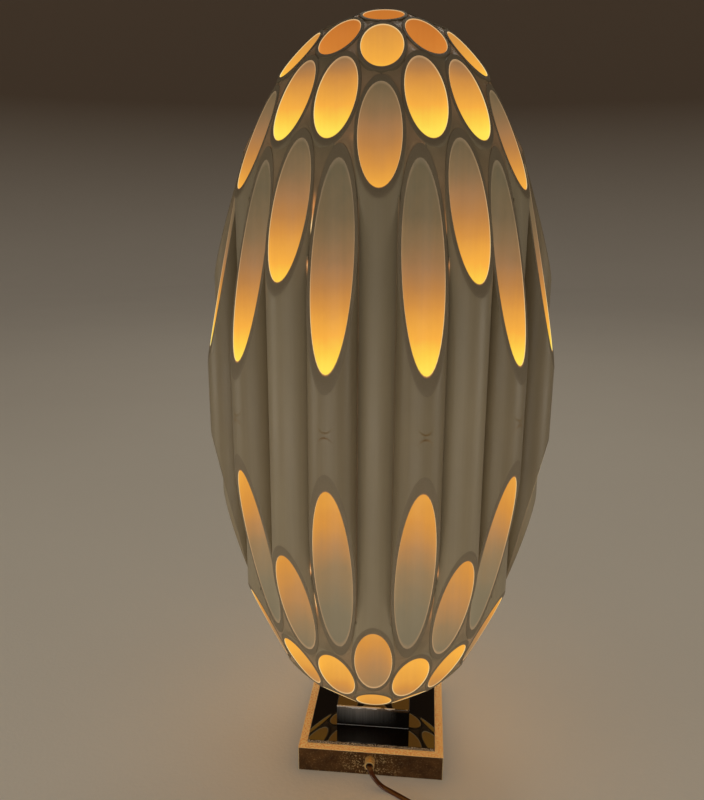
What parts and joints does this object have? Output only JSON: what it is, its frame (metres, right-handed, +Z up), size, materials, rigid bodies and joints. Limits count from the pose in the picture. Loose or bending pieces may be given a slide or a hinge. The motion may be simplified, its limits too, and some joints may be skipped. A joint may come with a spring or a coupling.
{
  "type": "table lamp",
  "caption": "Egg-shaped table lamp made of a glued bundle of upright plastic tubes with slanting ends, on a square brass-edged base, with a cord, thumbwheel switch and plug.",
  "frame": {"origin": "centre of the base's underside, on the surface that the lamp stands on", "axes": "+Z up the lamp, -Y towards the front, where the cord leaves the base, +X to the right seen from the front"},
  "size_m": [0.3072, 0.3718, 0.6924],
  "materials": {
    "tube_plastic": "satin off-white rigid plastic, lit from within",
    "brass": "aged, scratched, dark bronze patina with rubbed edges",
    "bushing_brass": "turned, lightly tarnished",
    "socket_brass": "spun, bright",
    "black_sheet": "mirror gloss black",
    "black_block": "high gloss black",
    "felt": "dark felt",
    "plain_steel": "rolled",
    "wood_block": "sawn hardwood",
    "zinc_steel": "zinc plated",
    "clear_sheet": "clear acrylic sheet",
    "phenolic": "moulded",
    "liner_card": "fibre board",
    "thread_metal": "rolled thread",
    "contact_brass": "bright strip",
    "bulb_glass": "inside frosted",
    "filament": "glowing wire on a glass stem",
    "grommet_rubber": "black sleeve",
    "lead_plastic": "insulated wire",
    "cord_plastic": "translucent golden brown",
    "fitting_plastic": "moulded brown"
  },
  "bodies": {
    "lamp": {"ballast_disc": "plain_steel", "bottom_cover": "plain_steel", "bottom_tubes_ring_0": "tube_plastic", "bottom_tubes_ring_1": "tube_plastic", "bottom_tubes_ring_3": "tube_plastic", "bottom_tubes_ring_4": "tube_plastic", "bushing_grommet": "grommet_rubber", "bushing_nut": "zinc_steel", "clamp_plate": "plain_steel", "cord_bushing": "bushing_brass", "cord_coil": "cord_plastic", "cord_to_coil": "cord_plastic", "cord_to_plug": "cord_plastic", "cord_to_switch": "cord_plastic", "corner_blocks": "wood_block", "corner_tube_left": "tube_plastic", "corner_tube_left_back": "tube_plastic", "corner_tube_left_front": "tube_plastic", "corner_tube_right": "tube_plastic", "corner_tube_right_back": "tube_plastic", "corner_tube_right_front": "tube_plastic", "cover_screws": "zinc_steel", "egg_washer": "zinc_steel", "felt_sheet": "felt", "frame_bar_back": "brass", "frame_bar_front": "brass", "frame_bar_left": "brass", "frame_bar_right": "brass", "internal_leads": "lead_plastic", "lamp_pipe": "zinc_steel", "pipe_nuts": "zinc_steel", "plug_blades": "contact_brass", "plug_body": "fitting_plastic", "plug_ledge": "clear_sheet", "riser_block": "black_block", "side_tubes_back": "tube_plastic", "side_tubes_back_left": "tube_plastic", "side_tubes_back_right": "tube_plastic", "side_tubes_front": "tube_plastic", "side_tubes_front_left": "tube_plastic", "side_tubes_front_right": "tube_plastic", "socket_cap": "socket_brass", "socket_contact": "contact_brass", "socket_core": "phenolic", "socket_liner": "liner_card", "socket_screw_shell": "thread_metal", "socket_shell": "socket_brass", "switch_case_bottom": "fitting_plastic", "switch_case_top": "fitting_plastic", "switch_screws": "zinc_steel", "top_panel": "black_sheet", "top_tubes_ring_3": "tube_plastic", "top_tubes_ring_4": "tube_plastic"},
    "top_plug": {"plug_tubes_ring_0": "tube_plastic", "plug_tubes_ring_1": "tube_plastic"},
    "bulb": {"bulb_glass": "bulb_glass", "bulb_cap": "thread_metal", "bulb_filament": "filament"},
    "thumbwheel": {"switch_wheel": "fitting_plastic"}
  },
  "joints": [
    {"name": "top_plug_lift", "type": "slide", "parent": "lamp", "child": "top_plug", "axis": [0, 0, 1], "range_m": [0, 0.16]},
    {"name": "bulb_unscrew", "type": "slide", "parent": "lamp", "child": "bulb", "axis": [0, 0, 1], "range_m": [0, 0.03]},
    {"name": "thumbwheel_turn", "type": "hinge", "parent": "lamp", "child": "thumbwheel", "pos_m": [0.105, -0.143, 0.0106], "axis": [0.5736, 0.8192, 0], "continuous": true}
  ]
}
